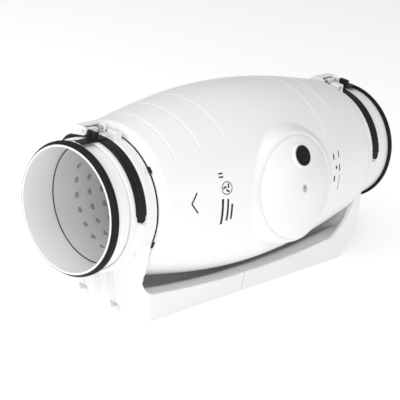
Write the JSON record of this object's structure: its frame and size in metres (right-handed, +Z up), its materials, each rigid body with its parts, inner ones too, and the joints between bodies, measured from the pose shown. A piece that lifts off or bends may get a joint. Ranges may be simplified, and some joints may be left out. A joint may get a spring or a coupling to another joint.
{
  "type": "inline duct fan",
  "caption": "Acoustically lined inline fan for round bathroom extract duct: rounded casing, impeller, round wiring box, and a saddle base with a latched strap at each end.",
  "frame": {"origin": "centre of the footprint of the whole fan, on the surface that the base stands on", "axes": "+X along the duct from the outlet to the inlet, -Y towards the wiring box, +Z up out of the base"},
  "size_m": [0.5086, 0.2416, 0.244],
  "materials": {
    "white_plastic": "satin white, lightly glossy",
    "inner_white": "satin off-white",
    "black_rubber": "matt black",
    "black_plastic": "satin black",
    "grey_plastic": "satin grey",
    "steel": "bright zinc",
    "rotor_shell": "satin black",
    "sound_foam": "dark matt foam",
    "terminal_green": "satin green"
  },
  "bodies": {
    "housing": {"back_bearing": "steel", "base_back_screw": "steel", "base_front_screw": "steel", "casing_back_shell": "white_plastic", "casing_front_shell": "white_plastic", "cover_seal": "black_rubber", "front_bearing": "steel", "guide_vane_unit": "inner_white", "impeller_housing": "inner_white", "inlet_base_half": "white_plastic", "inlet_casing_seal": "black_rubber", "inlet_lower_clip": "black_plastic", "inlet_mouth_gasket": "black_rubber", "inlet_nozzle": "inner_white", "inlet_perforated_liner": "inner_white", "inlet_rubber_mount": "black_rubber", "inlet_sound_insulation": "sound_foam", "inlet_spigot": "white_plastic", "inlet_upper_clip": "black_plastic", "motor_lead": "grey_plastic", "motor_stator": "steel", "outlet_base_half": "white_plastic", "outlet_casing_seal": "black_rubber", "outlet_lower_clip": "black_plastic", "outlet_mouth_gasket": "black_rubber", "outlet_perforated_liner": "inner_white", "outlet_rubber_mount": "black_rubber", "outlet_sound_insulation": "sound_foam", "outlet_spigot": "white_plastic", "outlet_upper_clip": "black_plastic", "run_capacitor": "black_plastic", "tail_cone": "inner_white", "terminal_block": "terminal_green", "wiring_box": "white_plastic"},
    "rotor": {"impeller": "grey_plastic", "motor_rotor": "rotor_shell", "motor_shaft": "steel"},
    "wiring_lid": {"wiring_cover": "white_plastic", "cable_gland": "black_rubber", "cover_screw": "steel"},
    "outlet_front_clamp": {"outlet_front_strap": "black_plastic"},
    "outlet_back_clamp": {"outlet_back_strap": "black_plastic"},
    "outlet_lever": {"outlet_latch": "white_plastic", "outlet_latch_pin": "steel"},
    "inlet_front_clamp": {"inlet_front_strap": "black_plastic"},
    "inlet_back_clamp": {"inlet_back_strap": "black_plastic"},
    "inlet_lever": {"inlet_latch": "white_plastic", "inlet_latch_pin": "steel"}
  },
  "joints": [
    {"name": "impeller_spin", "type": "hinge", "parent": "housing", "child": "rotor", "pos_m": [0, 0.00836, 0.1315], "axis": [1, 0, 0], "continuous": true},
    {"name": "wiring_cover_turn", "type": "hinge", "parent": "housing", "child": "wiring_lid", "pos_m": [0.01, -0.10014, 0.1505], "axis": [0, -0.9681, 0.2504], "range_deg": [-180, 180]},
    {"name": "outlet_front_strap_open", "type": "hinge", "parent": "housing", "child": "outlet_front_clamp", "pos_m": [-0.21295, -0.06955, 0.13832], "axis": [1, 0, 0], "range_deg": [0, 45]},
    {"name": "outlet_back_strap_open", "type": "hinge", "parent": "housing", "child": "outlet_back_clamp", "pos_m": [-0.21295, 0.08626, 0.13832], "axis": [-1, 0, 0], "range_deg": [0, 45]},
    {"name": "outlet_latch_open", "type": "hinge", "parent": "outlet_back_clamp", "child": "outlet_lever", "pos_m": [-0.21295, 0.02399, 0.21505], "axis": [1, 0, 0], "range_deg": [0, 90]},
    {"name": "inlet_front_strap_open", "type": "hinge", "parent": "housing", "child": "inlet_front_clamp", "pos_m": [0.21295, -0.06955, 0.13832], "axis": [1, 0, 0], "range_deg": [0, 45]},
    {"name": "inlet_back_strap_open", "type": "hinge", "parent": "housing", "child": "inlet_back_clamp", "pos_m": [0.21295, 0.08626, 0.13832], "axis": [-1, 0, 0], "range_deg": [0, 45]},
    {"name": "inlet_latch_open", "type": "hinge", "parent": "inlet_back_clamp", "child": "inlet_lever", "pos_m": [0.21295, 0.02399, 0.21505], "axis": [1, 0, 0], "range_deg": [0, 90]}
  ]
}
